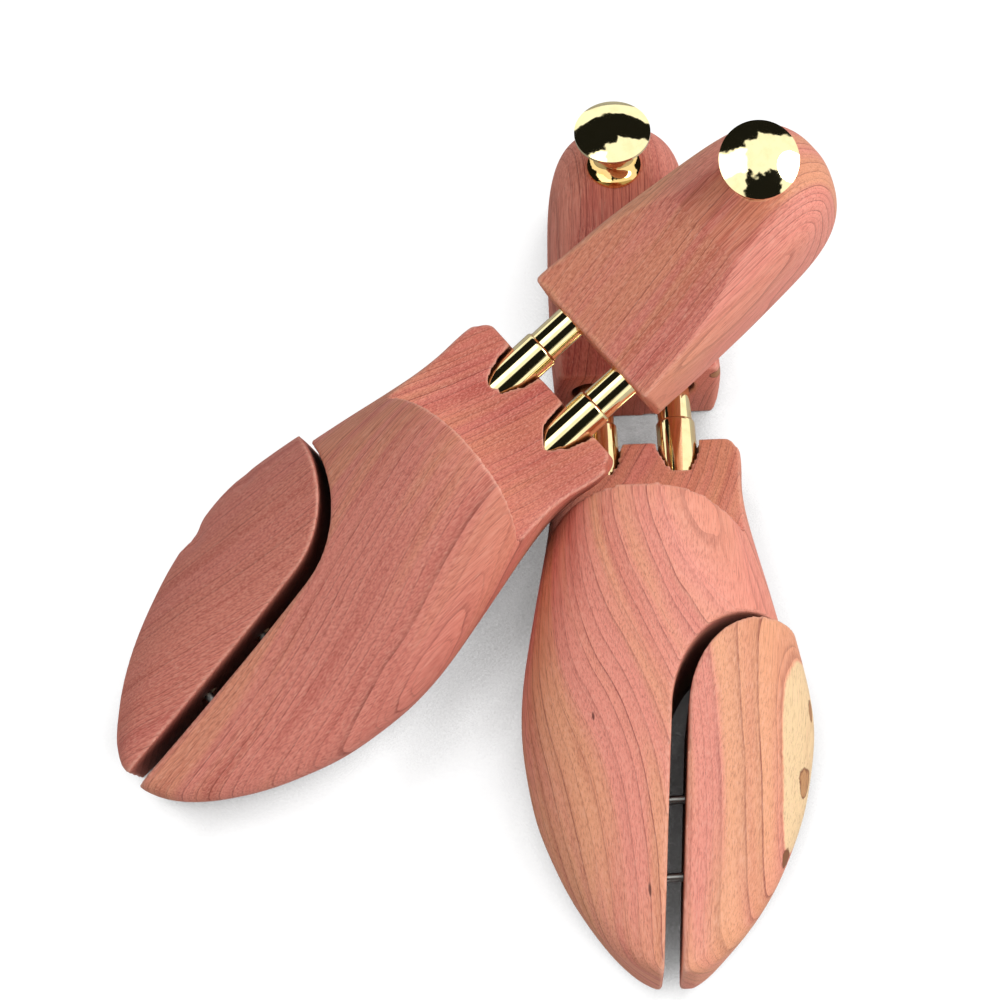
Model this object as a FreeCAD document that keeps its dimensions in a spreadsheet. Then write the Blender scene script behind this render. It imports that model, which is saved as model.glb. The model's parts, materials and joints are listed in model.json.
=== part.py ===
import FreeCAD, Part
import math
import os

import Sketcher
from FreeCAD import Placement, Rotation, Vector

# A pair of spring-loaded cedar shoe trees, left and right, one lying flat and one lying across its heel.
# In a tree's own frame the toe points to -Y, the heel to +Y and up is +Z. The origin of that frame is under the
# rear edge of the neck, level with the sole. The outer side of the foot is +X on the left tree, -X on the right.

# Driving sizes, in millimetres and degrees
SIZES = {
    # fore part
    "fore_length": 184,
    "fore_medial_width": 45,
    "fore_lateral_width": 45.5,
    "instep_height": 64.5,
    "toe_lift": 9,
    "step_angle": 22,
    "step_depth": 44,
    "neck_edge_above_tubes": 2.5,
    "neck_corner_radius": 4.5,
    # split toe
    "split_tip_offset": 6.5,
    "split_tilt": 6,
    "split_bend_radius": 34,
    "split_rear": 69,
    "saw_kerf": 1.5,
    "toe_travel": 4,
    # heel part
    "heel_gap": 20,
    "heel_length": 95,
    "heel_width": 57,
    "heel_height": 48,
    "heel_swing": 3,
    "heel_face_height": 35,
    "heel_face_angle": 13,
    "heel_corner_radius": 4,
    # telescoping tubes
    "tube_spacing": 26,
    "tube_height": 21.2,
    "sleeve_diameter": 13,
    "sleeve_wall": 0.4,
    "sleeve_depth": 64,
    "sleeve_reach": 7.5,
    "sleeve_mouth_roll": 1.1,
    "slide_diameter": 11.4,
    "slide_wall": 0.5,
    "slide_depth": 55,
    "slide_clearance": 0.05,
    "collar_length": 3,
    "guide_length": 27,
    "mouth_diameter": 15,
    "neck_mouth_depth": 22,
    "heel_mouth_depth": 12,
    "seat_clearance": 0.05,
    "spring_clearance": 0.4,
    "tube_spring_wire": 1.1,
    # toe guides
    "toe_pin_diameter": 3,
    "toe_pin_hold": 18,
    "toe_pin_height": 17,
    "toe_pin_front_from_tip": 35,
    "toe_pin_rear_from_tip": 61,
    "toe_head_diameter": 5.4,
    "toe_head_length": 2,
    "toe_bush_diameter": 6.4,
    "toe_bush_length": 5,
    "toe_bush_sink": 0.7,
    "toe_bore_depth": 19,
    "toe_spring_wire": 0.7,
    # knob
    "left_knob_from_rear": 23,
    "left_knob_aside": 1.5,
    "left_knob_tilt": 10,
    "left_knob_lean": 2.5,
    "right_knob_from_rear": 20.8,
    "right_knob_aside": -3.2,
    "right_knob_tilt": 6,
    "right_knob_lean": 7,
    "knob_sink": 1.2,
    "knob_flange_diameter": 18,
    "knob_flange_edge": 1.2,
    "knob_neck_diameter": 9,
    "knob_neck_low": 7,
    "knob_neck_high": 9.5,
    "knob_stem_height": 16,
    "knob_stem_top_diameter": 15,
    "knob_head_diameter": 25.4,
    "knob_head_flare": 2.2,
    "knob_rim": 1.1,
    "knob_dome": 3,
    "knob_screw_diameter": 4,
    "knob_screw_hold": 24,
    "knob_screw_grip": 11,
    # set pins
    "set_pin_diameter": 2,
    "set_pin_sink": 0.8,
    "fore_set_pin_depth": 50,
    "heel_set_pin_depth": 45,
    # how the pair lies
    "left_yaw": 3.8,
    "right_yaw": -50.23,
    "right_pitch": 15.64,
    "right_roll": 5,
    "right_x": -25.75,
    "right_y": 5.77,
    "right_z": 43.38,
    "origin_ahead_of_neck": 60,
    # left on the soles for planing, and past each end of a cut
    "planing_allowance": 0.5,
    "overrun": 5,
}
TUBE_SPRING_TURNS = 9
TOE_SPRING_TURNS = 5
FORE_SECTIONS = 16
HEEL_SECTIONS = 12

# Fore part from neck to toe: place along the length, medial and lateral half width, crown height and lift of the
# sole, as shares of fore_length, the two widths, instep_height and toe_lift, then the height of the widest place as
# a share of the thickness there
FORE_SHARES = (
    (0.000, 0.67, 0.70, 0.92, 0.00, 0.38),
    (0.180, 0.71, 0.75, 1.00, 0.00, 0.38),
    (0.360, 0.88, 0.90, 0.88, 0.00, 0.38),
    (0.540, 1.00, 1.00, 0.72, 0.00, 0.38),
    (0.655, 0.97, 0.93, 0.63, 0.03, 0.40),
    (0.790, 0.83, 0.73, 0.56, 0.22, 0.47),
    (0.890, 0.64, 0.49, 0.52, 0.50, 0.56),
    (0.957, 0.44, 0.25, 0.50, 0.76, 0.64),
    (0.988, 0.28, 0.10, 0.485, 0.92, 0.68),
    (1.000, 0.17, 0.00, 0.465, 1.08, 0.70),
)
# Heel part from front to rear: place along the length, half width, crown height, swing to the lateral side and
# lift of the underside, as shares of heel_length, half of heel_width, heel_height, heel_swing and heel_height, then
# the height of the widest place as a share of the thickness there
HEEL_SHARES = (
    (0.000, 0.98, 0.97, 0.50, 0.00, 0.42),
    (0.300, 0.95, 1.00, 0.35, 0.00, 0.42),
    (0.550, 0.89, 1.00, 0.10, 0.00, 0.42),
    (0.750, 0.82, 0.97, 0.00, 0.00, 0.42),
    (0.870, 0.71, 0.90, 0.10, 0.01, 0.42),
    (0.950, 0.52, 0.78, 0.20, 0.08, 0.42),
    (0.988, 0.31, 0.65, 0.30, 0.20, 0.42),
    (1.000, 0.15, 0.55, 0.30, 0.30, 0.42),
)
# Any section across the fore and the heel part: half of the flat sole as a share of the half width, how square the
# shoulders above and below the widest place are (1 is a plain ellipse, 0 a square corner), and how far the crown
# stands to the medial side as a share of the width
FORE_FORM_SHARES = {"sole": 0.58, "above": 0.9, "below": 0.85, "lean": 0.08}
HEEL_FORM_SHARES = {"sole": 0.84, "above": 0.62, "below": 0.65, "lean": 0}

doc = FreeCAD.newDocument("shoe_trees")
sheet = doc.addObject("Spreadsheet::Sheet", "sizes")
for row, (alias, value) in enumerate(SIZES.items(), 1):
    sheet.set(f"A{row}", alias)
    sheet.set(f"B{row}", str(value))
    sheet.setAlias(f"B{row}", alias)
doc.recompute()

nodes = []


def size(alias):
    """A driving size as the sheet holds it."""
    return float(sheet.get(alias))


def on_sheet(sums):
    """A sum on aliases, written so that it reads them from the sheet."""
    words = sums.split()
    return " ".join("sizes." + word if word in SIZES else word for word in words)


def worked(sums):
    """The present value of a sum on aliases."""
    value = sheet.evalExpression(on_sheet(sums))
    return float(getattr(value, "Value", value))


def keep(piece, label, place):
    """Names a finished piece and lays it in its place."""
    piece.Label = label
    piece.Placement = place
    nodes.append(piece)


def moved(x, y, z):
    return Placement(Vector(x, y, z), Rotation())


def along_y(x, y, z):
    """Lays a piece's own Z axis along +Y."""
    return Placement(Vector(x, y, z), Rotation(Vector(1, 0, 0), -90))


def along_x(x, y, z, hand):
    """Lays a piece's own Z axis towards the lateral side."""
    return Placement(Vector(x, y, z), Rotation(Vector(0, 1, 0), 90 * hand))


# Turned pieces

def level_arc(start, end, joint):
    """The arc from start to end that leaves one of them, the joint, straight along the axis."""
    chord = (end if joint == start else start) - joint
    centre = joint + Vector(chord.dot(chord) / (2 * chord.x), 0, 0)
    if (start - centre).cross(end - centre).z < 0:
        start, end = end, start
    return arc_about(centre, start, end)


def arc_about(centre, start, end):
    """The shorter arc about a centre."""
    outward = (start + end) * 0.5 - centre
    return Part.Arc(start, centre + outward.normalize() * (start - centre).Length, end)


def end_at(sketch, side, place):
    """1 if a side of the sketch starts at the place, 2 if it ends there."""
    line = sketch.Geometry[side]
    return 1 if (line.StartPoint - place).Length < (line.EndPoint - place).Length else 2


def turned(name, profile, smooth=None, dome=None):
    """A piece turned about its own Z axis.

    profile is a closed row of corners, each a sum for its radius and one for its height. smooth maps a rounded side
    to the corner where it runs on from a straight side, and dome is a side whose arc is centred on the axis.
    """
    smooth = smooth or {}
    body = doc.addObject("PartDesign::Body", name)
    plane = next(item for item in body.Origin.OriginFeatures if item.Role == "XZ_Plane")
    sketch = body.newObject("Sketcher::SketchObject", name + "_profile")
    sketch.AttachmentSupport = [(plane, "")]
    sketch.MapMode = "FlatFace"
    corners = [Vector(worked(radius), worked(height), 0) for radius, height in profile]
    count = len(corners)
    for side, start in enumerate(corners):
        end = corners[(side + 1) % count]
        if side in smooth:
            sketch.addGeometry(level_arc(start, end, corners[smooth[side]]))
        elif side == dome:
            rise = end.y - start.y
            radius = (start.x ** 2 + rise ** 2) / (2 * rise)
            sketch.addGeometry(arc_about(Vector(0, end.y - radius, 0), start, end))
        else:
            sketch.addGeometry(Part.LineSegment(start, end))
    for side, corner in enumerate(corners):
        before = (side - 1) % count
        sketch.addConstraint(Sketcher.Constraint("Coincident", before, end_at(sketch, before, corner),
                                                 side, end_at(sketch, side, corner)))
        line = before if side in smooth or side == dome else side
        for kind, sums in zip(("DistanceX", "DistanceY"), profile[side]):
            number = sketch.addConstraint(Sketcher.Constraint(kind, -1, 1, line, end_at(sketch, line, corner),
                                                              worked(sums)))
            sketch.setExpression(f"Constraints[{number}]", on_sheet(sums))
    for side, joint in smooth.items():
        height = profile[joint][1]
        number = sketch.addConstraint(Sketcher.Constraint("DistanceY", -1, 1, side, 3, worked(height)))
        sketch.setExpression(f"Constraints[{number}]", on_sheet(height))
    if dome is not None:
        sketch.addConstraint(Sketcher.Constraint("PointOnObject", dome, 3, -2))
    turn = body.newObject("PartDesign::Revolution", name + "_turn")
    turn.Profile = sketch
    turn.ReferenceAxis = (sketch, ["V_Axis"])
    turn.Angle = 360
    return body


def round_bar(name, diameter, length, place):
    """A plain round bar, as a piece or as the cutter of a bore."""
    bar = doc.addObject("Part::Cylinder", name)
    bar.setExpression("Radius", f"({on_sheet(diameter)}) / 2")
    bar.setExpression("Height", on_sheet(length))
    bar.Placement = place
    return bar


def block(name, width, depth, height, place):
    """A square-edged cutter."""
    box = doc.addObject("Part::Box", name)
    box.setExpression("Length", on_sheet(width))
    box.setExpression("Width", on_sheet(depth))
    box.setExpression("Height", on_sheet(height))
    box.Placement = place
    return box


def cut(name, base, cutters):
    """A base less its cutters."""
    result = doc.addObject("Part::Cut", name)
    result.Base = base
    if len(cutters) == 1:
        result.Tool = cutters[0]
    else:
        result.Tool = doc.addObject("Part::MultiFuse", name + "_cutters")
        result.Tool.Shapes = cutters
    return result


# Wound springs

def coil(name, mean_radius, wire, turns, length):
    """A compression spring about its own Z axis, one unbroken wire on two arcs to each quarter turn."""
    pitch = (length - wire) / turns

    def on_helix(turn):
        angle = turn * 2 * math.pi
        place = Vector(mean_radius * math.cos(angle), mean_radius * math.sin(angle), wire / 2 + pitch * turn)
        heading = Vector(-mean_radius * math.sin(angle), mean_radius * math.cos(angle), pitch / (2 * math.pi))
        return place, heading.normalize()

    edges = []
    for quarter in range(4 * turns):
        edges += two_arcs(*on_helix(quarter / 4), *on_helix((quarter + 1) / 4))
    start, heading = on_helix(0)
    profile = Part.Wire(Part.Circle(start, heading, wire / 2).toShape())
    spring = doc.addObject("Part::Feature", name)
    spring.Shape = Part.Wire(edges).makePipeShell([profile], True, False)
    steps_per_turn = 16
    places = [on_helix(step / steps_per_turn)[0] for step in range(turns * steps_per_turn + 1)]
    apart = steps_per_turn // 2
    least = min((places[one] - places[two]).Length for one in range(len(places))
                for two in range(one + apart, len(places)))
    print(f"{name}: least gap between turns {least - wire:.2f} mm")
    return spring


def two_arcs(start, heading, end, arriving):
    """Two arcs in a row from one place and heading to another, with no corner between them."""
    chord = end - start
    pull = heading + arriving
    square = 2 * (1 - heading.dot(arriving))
    middle = chord.dot(pull)
    reach = (-middle + math.sqrt(middle ** 2 + square * chord.dot(chord))) / square
    joint = (start + heading * reach + end - arriving * reach) * 0.5
    return [arc_along(start, heading, joint), arc_along(end, arriving * -1, joint)]


def arc_along(start, heading, end):
    """The arc that leaves start along a heading and reaches end."""
    chord = end - start
    sideways = chord - heading * chord.dot(heading)
    radius = chord.dot(chord) / (2 * sideways.Length)
    centre = start + sideways.normalize() * radius
    return Part.Edge(arc_about(centre, start, end))


# Carved wood

def carved_section(place, medial, lateral, crown, sole, widest_share, form, hand):
    """A section across a carved block: a flat sole, and one smooth curve from sole edge to sole edge."""
    widest = sole + widest_share * (crown - sole)
    sole -= size("planing_allowance")
    middle = hand * (lateral - medial) / 2
    half = (lateral + medial) / 2
    points = []
    for step in range(-2, 11):
        turn = step * math.pi / 8
        if 0 <= step <= 8:
            share = max(math.sin(turn), 0) ** form["above"]
            aside = math.copysign(abs(math.cos(turn)) ** form["above"], 4 - step)
            across = half * aside - hand * 2 * half * form["lean"] * share
            up = widest + (crown - widest) * share
        else:
            edge = -2 * turn if step < 0 else 2 * (turn - math.pi)
            aside = max(math.cos(edge), 0) ** form["below"]
            across = math.copysign(half, 4 - step) * (form["sole"] + (1 - form["sole"]) * aside)
            up = widest - (widest - sole) * math.sin(edge) ** form["below"]
        points.append(Vector(middle + across, place, up))
    curve = Part.BSplineCurve()
    curve.interpolate(Points=points, Parameters=[float(step) for step in range(len(points))])
    return Part.Wire([curve.toShape(), Part.LineSegment(points[-1], points[0]).toShape()])


def eased(rows, count):
    """Rows of shares at places that close up towards the rounded end, on curves that never swing past a row."""
    turns = [math.asin(row[0]) for row in rows]
    gaps = [two - one for one, two in zip(turns, turns[1:])]
    columns = []
    for values in zip(*rows):
        rises = [(two - one) / gap for one, two, gap in zip(values, values[1:], gaps)]
        slopes = [rises[0]]
        for (before, after), (gap, rise) in zip(zip(gaps, gaps[1:]), zip(rises, rises[1:])):
            near, far = 2 * after + before, after + 2 * before
            slopes.append((near + far) / (near / gap + far / rise) if gap * rise > 0 else 0)
        slopes.append(rises[-1])
        columns.append((values, slopes))
    eased_rows = []
    for step in range(count + 1):
        turn = math.pi / 2 * step / count
        span = max(index for index in range(len(gaps)) if index == 0 or turns[index] <= turn)
        gap = gaps[span]
        share = (turn - turns[span]) / gap
        eased_rows.append([
            values[span] * (1 + 2 * share) * (1 - share) ** 2 + slopes[span] * gap * share * (1 - share) ** 2
            + values[span + 1] * share ** 2 * (3 - 2 * share) + slopes[span + 1] * gap * share ** 2 * (share - 1)
            for values, slopes in columns])
    return eased_rows


def carved_blank(name, sections):
    """The carved body through a row of sections, planed flat at the sole."""
    body = Part.makeLoft(sections, True, False)
    box = body.BoundBox
    over = size("overrun")
    above = Part.makeBox(box.XLength + 2 * over, box.YLength + 2 * over, box.ZLength + over,
                         Vector(box.XMin - over, box.YMin - over, 0))
    blank = doc.addObject("Part::Feature", name)
    blank.Shape = body.common(above)
    return blank


def fore_blank(name, hand):
    sections = []
    for place, medial, lateral, crown, sole, widest in eased(FORE_SHARES, FORE_SECTIONS):
        medial_width = medial * size("fore_medial_width")
        lateral_width = lateral * size("fore_lateral_width")
        sections.append(carved_section(-place * size("fore_length"), medial_width, lateral_width,
                                       crown * size("instep_height"), sole * size("toe_lift"),
                                       widest, FORE_FORM_SHARES, hand))
    return carved_blank(name, sections)


def heel_blank(name, hand):
    sections = []
    for place, width, crown, swing, sole, widest in eased(HEEL_SHARES, HEEL_SECTIONS):
        half = width * size("heel_width") / 2
        aside = swing * size("heel_swing")
        sections.append(carved_section(size("heel_gap") + place * size("heel_length"), half - aside, half + aside,
                                       crown * size("heel_height"), sole * size("heel_height"),
                                       widest, HEEL_FORM_SHARES, hand))
    return carved_blank(name, sections)


def split_line(reach):
    """Distance of the saw cut's straight run to the lateral side of the middle, at a reach ahead of the neck."""
    tilt = math.radians(size("split_tilt"))
    return (size("fore_length") - reach) * math.tan(tilt) - size("split_tip_offset")


def split_region(name, hand, offset):
    """All that lies to the lateral side of the saw cut's edge, moved away from the fore block by an offset."""
    over = size("overrun")
    tilt = math.radians(size("split_tilt"))
    along = Vector(math.sin(tilt), math.cos(tilt), 0)
    aside = Vector(math.cos(tilt), -math.sin(tilt), 0)
    radius = size("split_bend_radius") - offset
    tip = Vector(split_line(size("fore_length")), -size("fore_length"), 0) + aside * offset
    rear = -size("split_rear") - offset
    run = (rear - radius - tip.y - aside.y * radius) / along.y
    bend_start = tip + along * run
    centre = bend_start + aside * radius
    bend_end = centre + Vector(0, radius, 0)
    start = tip - along * over * 2
    far = size("fore_lateral_width") + size("fore_medial_width")
    corners = [bend_end, Vector(far, bend_end.y, 0), Vector(far, start.y, 0), start, bend_start]
    edges = [Part.LineSegment(one, two).toShape() for one, two in zip(corners, corners[1:])]
    edges.append(arc_about(centre, bend_start, bend_end).toShape())
    region = doc.addObject("Part::Feature", name)
    solid = Part.Face(Part.Wire(edges)).extrude(Vector(0, 0, size("instep_height") + 2 * over))
    solid.translate(Vector(0, 0, -over))
    region.Shape = solid if hand > 0 else solid.mirror(Vector(0, 0, 0), Vector(1, 0, 0))
    return region


def tube_places(hand):
    """The two tubes of a tree: name of the side, and its distance from the middle."""
    half = size("tube_spacing") / 2
    return (("lateral", hand * half), ("medial", -hand * half))


def toe_pin_places(hand):
    """The two toe guides: name, saw cut's edge on the fore block there, and place along the length."""
    reaches = [(name, size("fore_length") - size(f"toe_pin_{name}_from_tip")) for name in ("front", "rear")]
    return [(name, hand * split_line(reach), -reach) for name, reach in reaches]


def round_corners(name, radius, tall, edge, inward, medial, lateral, hand):
    """Cutters that round the two upright corners at the end of a block, from its half widths there."""
    allowance = size("planing_allowance") / 2
    below = size("overrun")
    y = edge + inward * (size(radius) - allowance)
    cutters = []
    for side, outward, half in (("medial", -hand, medial), ("lateral", hand, lateral)):
        x = outward * (half + allowance - size(radius))
        reach = f"{radius} + overrun"
        corner = Vector(min(x, x + outward * worked(reach)), min(y, y - inward * worked(reach)), -below)
        square = block(f"{name}_square_{side}", reach, reach, f"{tall} + 2 * overrun", Placement(corner, Rotation()))
        core = round_bar(f"{name}_core_{side}", f"2 * {radius}", f"{tall} + 4 * overrun", moved(x, y, -2 * below))
        cutters.append(cut(f"{name}_round_{side}", square, [core]))
    return cutters


def fore_block(prefix, hand, pose):
    """Fore block: carved blank less the neck step, the sawn-off toe, the tube bores and the pin holes."""
    angle = size("step_angle")
    slope = math.radians(angle)
    depth = size("step_depth")
    wide = "4 * fore_medial_width"
    neck_edge = size("tube_height") + size("neck_edge_above_tubes")
    step_corner = Vector(-worked(wide) / 2, -depth * math.cos(slope), neck_edge + depth * math.sin(slope))
    cutters = [
        block(prefix + "neck_step", wide, "step_depth + 2 * overrun", "instep_height",
              Placement(step_corner, Rotation(Vector(1, 0, 0), -angle))),
        split_region(prefix + "toe_gap", hand, 0),
    ]
    neck = FORE_SHARES[0]
    cutters += round_corners(prefix + "neck", "neck_corner_radius", "instep_height", 0, -1,
                             neck[1] * size("fore_medial_width"), neck[2] * size("fore_lateral_width"), hand)
    level = size("tube_height")
    for side, x in tube_places(hand):
        cutters += [
            round_bar(f"{prefix}neck_mouth_{side}", "mouth_diameter", "neck_mouth_depth + overrun",
                      along_y(x, -size("neck_mouth_depth"), level)),
            round_bar(f"{prefix}sleeve_bore_{side}", "sleeve_diameter + 2 * seat_clearance",
                      "sleeve_depth + seat_clearance + overrun",
                      along_y(x, -size("sleeve_depth") - size("seat_clearance"), level)),
            round_bar(f"{prefix}fore_set_hole_{side}", "set_pin_diameter + 2 * seat_clearance", "tube_height",
                      moved(x, -size("fore_set_pin_depth"), 0)),
        ]
    for end, x, y in toe_pin_places(hand):
        hold = hand * (size("toe_pin_hold") + size("seat_clearance"))
        cutters.append(round_bar(f"{prefix}toe_pin_hole_{end}", "toe_pin_diameter + 2 * seat_clearance",
                                 "toe_pin_hold + overrun", along_x(x - hold, y, size("toe_pin_height"), hand)))
    keep(cut(prefix + "fore", fore_blank(prefix + "fore_blank", hand), cutters), prefix + "fore_block", pose)


def toe_side_block(prefix, hand, pose):
    """Sawn-off outer half of the toe, standing out by its travel."""
    half_toe = doc.addObject("Part::Common", prefix + "half_toe")
    half_toe.Base = fore_blank(prefix + "toe_blank", hand)
    half_toe.Tool = split_region(prefix + "toe_outside", hand, size("saw_kerf"))
    cutters = []
    for end, x, y in toe_pin_places(hand):
        face = x + hand * side_face()
        cutters.append(round_bar(f"{prefix}toe_bore_{end}", "toe_bush_diameter + 2 * seat_clearance",
                                 "toe_bore_depth + overrun",
                                 along_x(face - hand * size("overrun"), y, size("toe_pin_height"), hand)))
    keep(cut(prefix + "side", half_toe, cutters), prefix + "toe_side_block",
         pose.multiply(moved(hand * size("toe_travel"), 0, 0)))


def side_face():
    """Width of the saw cut across the tree."""
    return size("saw_kerf") / math.cos(math.radians(size("split_tilt")))


def toe_guides(prefix, hand, pose):
    """Headed pins in the fore block, and the bushes and springs that the side block holds."""
    level = size("toe_pin_height")
    clear = size("seat_clearance")
    pin_length = "toe_pin_hold + saw_kerf + toe_travel + toe_bush_sink + toe_bush_length + seat_clearance"
    bore_radius = worked("toe_bush_diameter / 2 + seat_clearance")
    wire = size("toe_spring_wire")
    spring_radius = bore_radius - size("spring_clearance") - wire / 2
    for end, x, y in toe_pin_places(hand):
        pin = turned(f"{prefix}toe_pin_{end}", [
            ("0", "0"),
            ("toe_pin_diameter / 2", "0"),
            ("toe_pin_diameter / 2", pin_length),
            ("toe_head_diameter / 2", pin_length),
            ("toe_head_diameter / 2", f"{pin_length} + toe_head_length"),
            ("0", f"{pin_length} + toe_head_length"),
        ])
        keep(pin, f"{prefix}toe_pin_{end}",
             pose.multiply(along_x(x - hand * size("toe_pin_hold"), y, level, hand)))
        face = x + hand * (side_face() + size("toe_travel"))
        bush = turned(f"{prefix}toe_bush_{end}", [
            ("toe_pin_diameter / 2 + slide_clearance", "0"),
            ("toe_bush_diameter / 2", "0"),
            ("toe_bush_diameter / 2", "toe_bush_length"),
            ("toe_pin_diameter / 2 + slide_clearance", "toe_bush_length"),
        ])
        keep(bush, f"{prefix}toe_bush_{end}",
             pose.multiply(along_x(face + hand * size("toe_bush_sink"), y, level, hand)))
        head_end = x + hand * (worked(pin_length) - size("toe_pin_hold") + size("toe_head_length") + clear)
        bore_end = face + hand * (size("toe_bore_depth") - clear)
        spring = coil(f"{prefix}toe_spring_{end}", spring_radius, wire, TOE_SPRING_TURNS,
                      abs(bore_end - head_end))
        keep(spring, f"{prefix}toe_spring_{end}", pose.multiply(along_x(head_end, y, level, hand)))


def sleeve_tubes(prefix, hand, pose):
    """Drawn sleeves in the fore block, each with a guide in its mouth and a spring at its bottom."""
    length = "sleeve_depth + sleeve_reach"
    outside = "sleeve_diameter / 2"
    inside = "sleeve_diameter / 2 - sleeve_wall"
    lip = "slide_diameter / 2 + 2 * slide_clearance"
    shoulder = f"{length} - sleeve_wall - ( {inside} - ( {lip} ) )"
    guide_seat = worked(shoulder) - size("sleeve_depth") - size("seat_clearance")
    level = size("tube_height")
    wire = size("tube_spring_wire")
    spring_radius = worked(inside) - size("spring_clearance") - wire / 2
    bottom = size("sleeve_wall") + size("seat_clearance") - size("sleeve_depth")
    for side, x in tube_places(hand):
        sleeve = turned(f"{prefix}sleeve_{side}", [
            ("0", "0"),
            (outside, "0"),
            (outside, f"{length} - sleeve_mouth_roll"),
            (lip, length),
            (lip, f"{length} - sleeve_wall"),
            (inside, shoulder),
            (inside, "sleeve_wall"),
            ("0", "sleeve_wall"),
        ], smooth={2: 2})
        keep(sleeve, f"{prefix}sleeve_tube_{side}", pose.multiply(along_y(x, -size("sleeve_depth"), level)))
        guide = turned(f"{prefix}guide_{side}", [
            ("slide_diameter / 2 + slide_clearance", "0"),
            (f"{inside} - seat_clearance", "0"),
            (f"{inside} - seat_clearance", "guide_length"),
            ("slide_diameter / 2 + slide_clearance", "guide_length"),
        ])
        keep(guide, f"{prefix}tube_guide_{side}",
             pose.multiply(along_y(x, guide_seat - size("guide_length"), level)))
        spring = coil(f"{prefix}tube_spring_{side}", spring_radius, wire, TUBE_SPRING_TURNS,
                      slide_front() - size("seat_clearance") - bottom)
        keep(spring, f"{prefix}tube_spring_{side}", pose.multiply(along_y(x, bottom, level)))


def slide_front():
    """Front end of the sliding tubes, whose collars rest on the guides in the sleeves."""
    lip_step = worked("sleeve_diameter / 2 - sleeve_wall - slide_diameter / 2 - 2 * slide_clearance")
    guide_front = size("sleeve_reach") - size("sleeve_wall") - lip_step - size("seat_clearance") - size("guide_length")
    return guide_front - size("seat_clearance") - size("collar_length")


def slide_tubes(prefix, hand, pose):
    """Sliding tubes that stand in the heel block."""
    collar = "sleeve_diameter / 2 - sleeve_wall - slide_clearance"
    reach = ("heel_gap + slide_depth - sleeve_reach + guide_length + collar_length + sleeve_wall "
             f"+ 2 * seat_clearance + {collar} + slide_clearance - slide_diameter / 2 - 2 * slide_clearance")
    for side, x in tube_places(hand):
        tube = turned(f"{prefix}slide_{side}", [
            ("slide_diameter / 2 - slide_wall", "0"),
            (collar, "0"),
            (collar, "collar_length"),
            ("slide_diameter / 2", "collar_length"),
            ("slide_diameter / 2", reach),
            ("slide_diameter / 2 - slide_wall", reach),
        ])
        keep(tube, f"{prefix}slide_tube_{side}", pose.multiply(along_y(x, slide_front(), size("tube_height"))))


def knob_place(prefix, blank, hand):
    """Where the knob's axis meets its seat on the heel, leaning back and towards the medial side."""
    x = -hand * size(prefix + "knob_aside")
    y = size("heel_gap") + size("heel_length") - size(prefix + "knob_from_rear")
    plumb = Part.makeLine(Vector(x, y, 0), Vector(x, y, 2 * size("heel_height")))
    crown = plumb.common(blank.Shape).BoundBox.ZMax
    turn = (Rotation(Vector(0, 1, 0), -hand * size(prefix + "knob_lean"))
            .multiply(Rotation(Vector(1, 0, 0), -size(prefix + "knob_tilt"))))
    return Placement(Vector(x, y, crown - size("knob_sink")), turn)


def heel_block(prefix, hand, pose):
    """Heel block: carved blank less its planed face, the tube sockets, the knob's seat and the pin holes."""
    blank = heel_blank(prefix + "heel_blank", hand)
    angle = size("heel_face_angle")
    slope = math.radians(angle)
    over = size("overrun")
    wide = "2 * heel_width"
    face_start = Vector(-worked(wide) / 2, size("heel_gap") - over * math.cos(slope),
                        size("heel_face_height") - over * math.sin(slope))
    seat = knob_place(prefix, blank, hand)
    hold = moved(0, 0, -size("knob_screw_hold") - size("seat_clearance"))
    cutters = [
        block(prefix + "heel_face", wide, "heel_length + 2 * overrun", "heel_height",
              Placement(face_start, Rotation(Vector(1, 0, 0), angle))),
        round_bar(prefix + "knob_seat", "knob_flange_diameter + 2 * spring_clearance", "knob_stem_height", seat),
        round_bar(prefix + "knob_hole", "knob_screw_diameter + 2 * seat_clearance",
                  "knob_screw_hold + overrun", seat.multiply(hold)),
    ]
    front = HEEL_SHARES[0]
    half = front[1] * size("heel_width") / 2
    aside = front[3] * size("heel_swing")
    cutters += round_corners(prefix + "heel", "heel_corner_radius", "heel_height", size("heel_gap"), 1,
                             half - aside, half + aside, hand)
    level = size("tube_height")
    for side, x in tube_places(hand):
        cutters += [
            round_bar(f"{prefix}heel_mouth_{side}", "mouth_diameter", "heel_mouth_depth + overrun",
                      along_y(x, size("heel_gap") - over, level)),
            round_bar(f"{prefix}slide_socket_{side}", "slide_diameter + 2 * seat_clearance",
                      "slide_depth + seat_clearance", along_y(x, size("heel_gap"), level)),
            round_bar(f"{prefix}heel_set_hole_{side}", "set_pin_diameter + 2 * seat_clearance", "tube_height",
                      moved(x, size("heel_gap") + size("heel_set_pin_depth"), 0)),
        ]
    keep(cut(prefix + "heel", blank, cutters), prefix + "heel_block", pose)
    return seat


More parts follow.
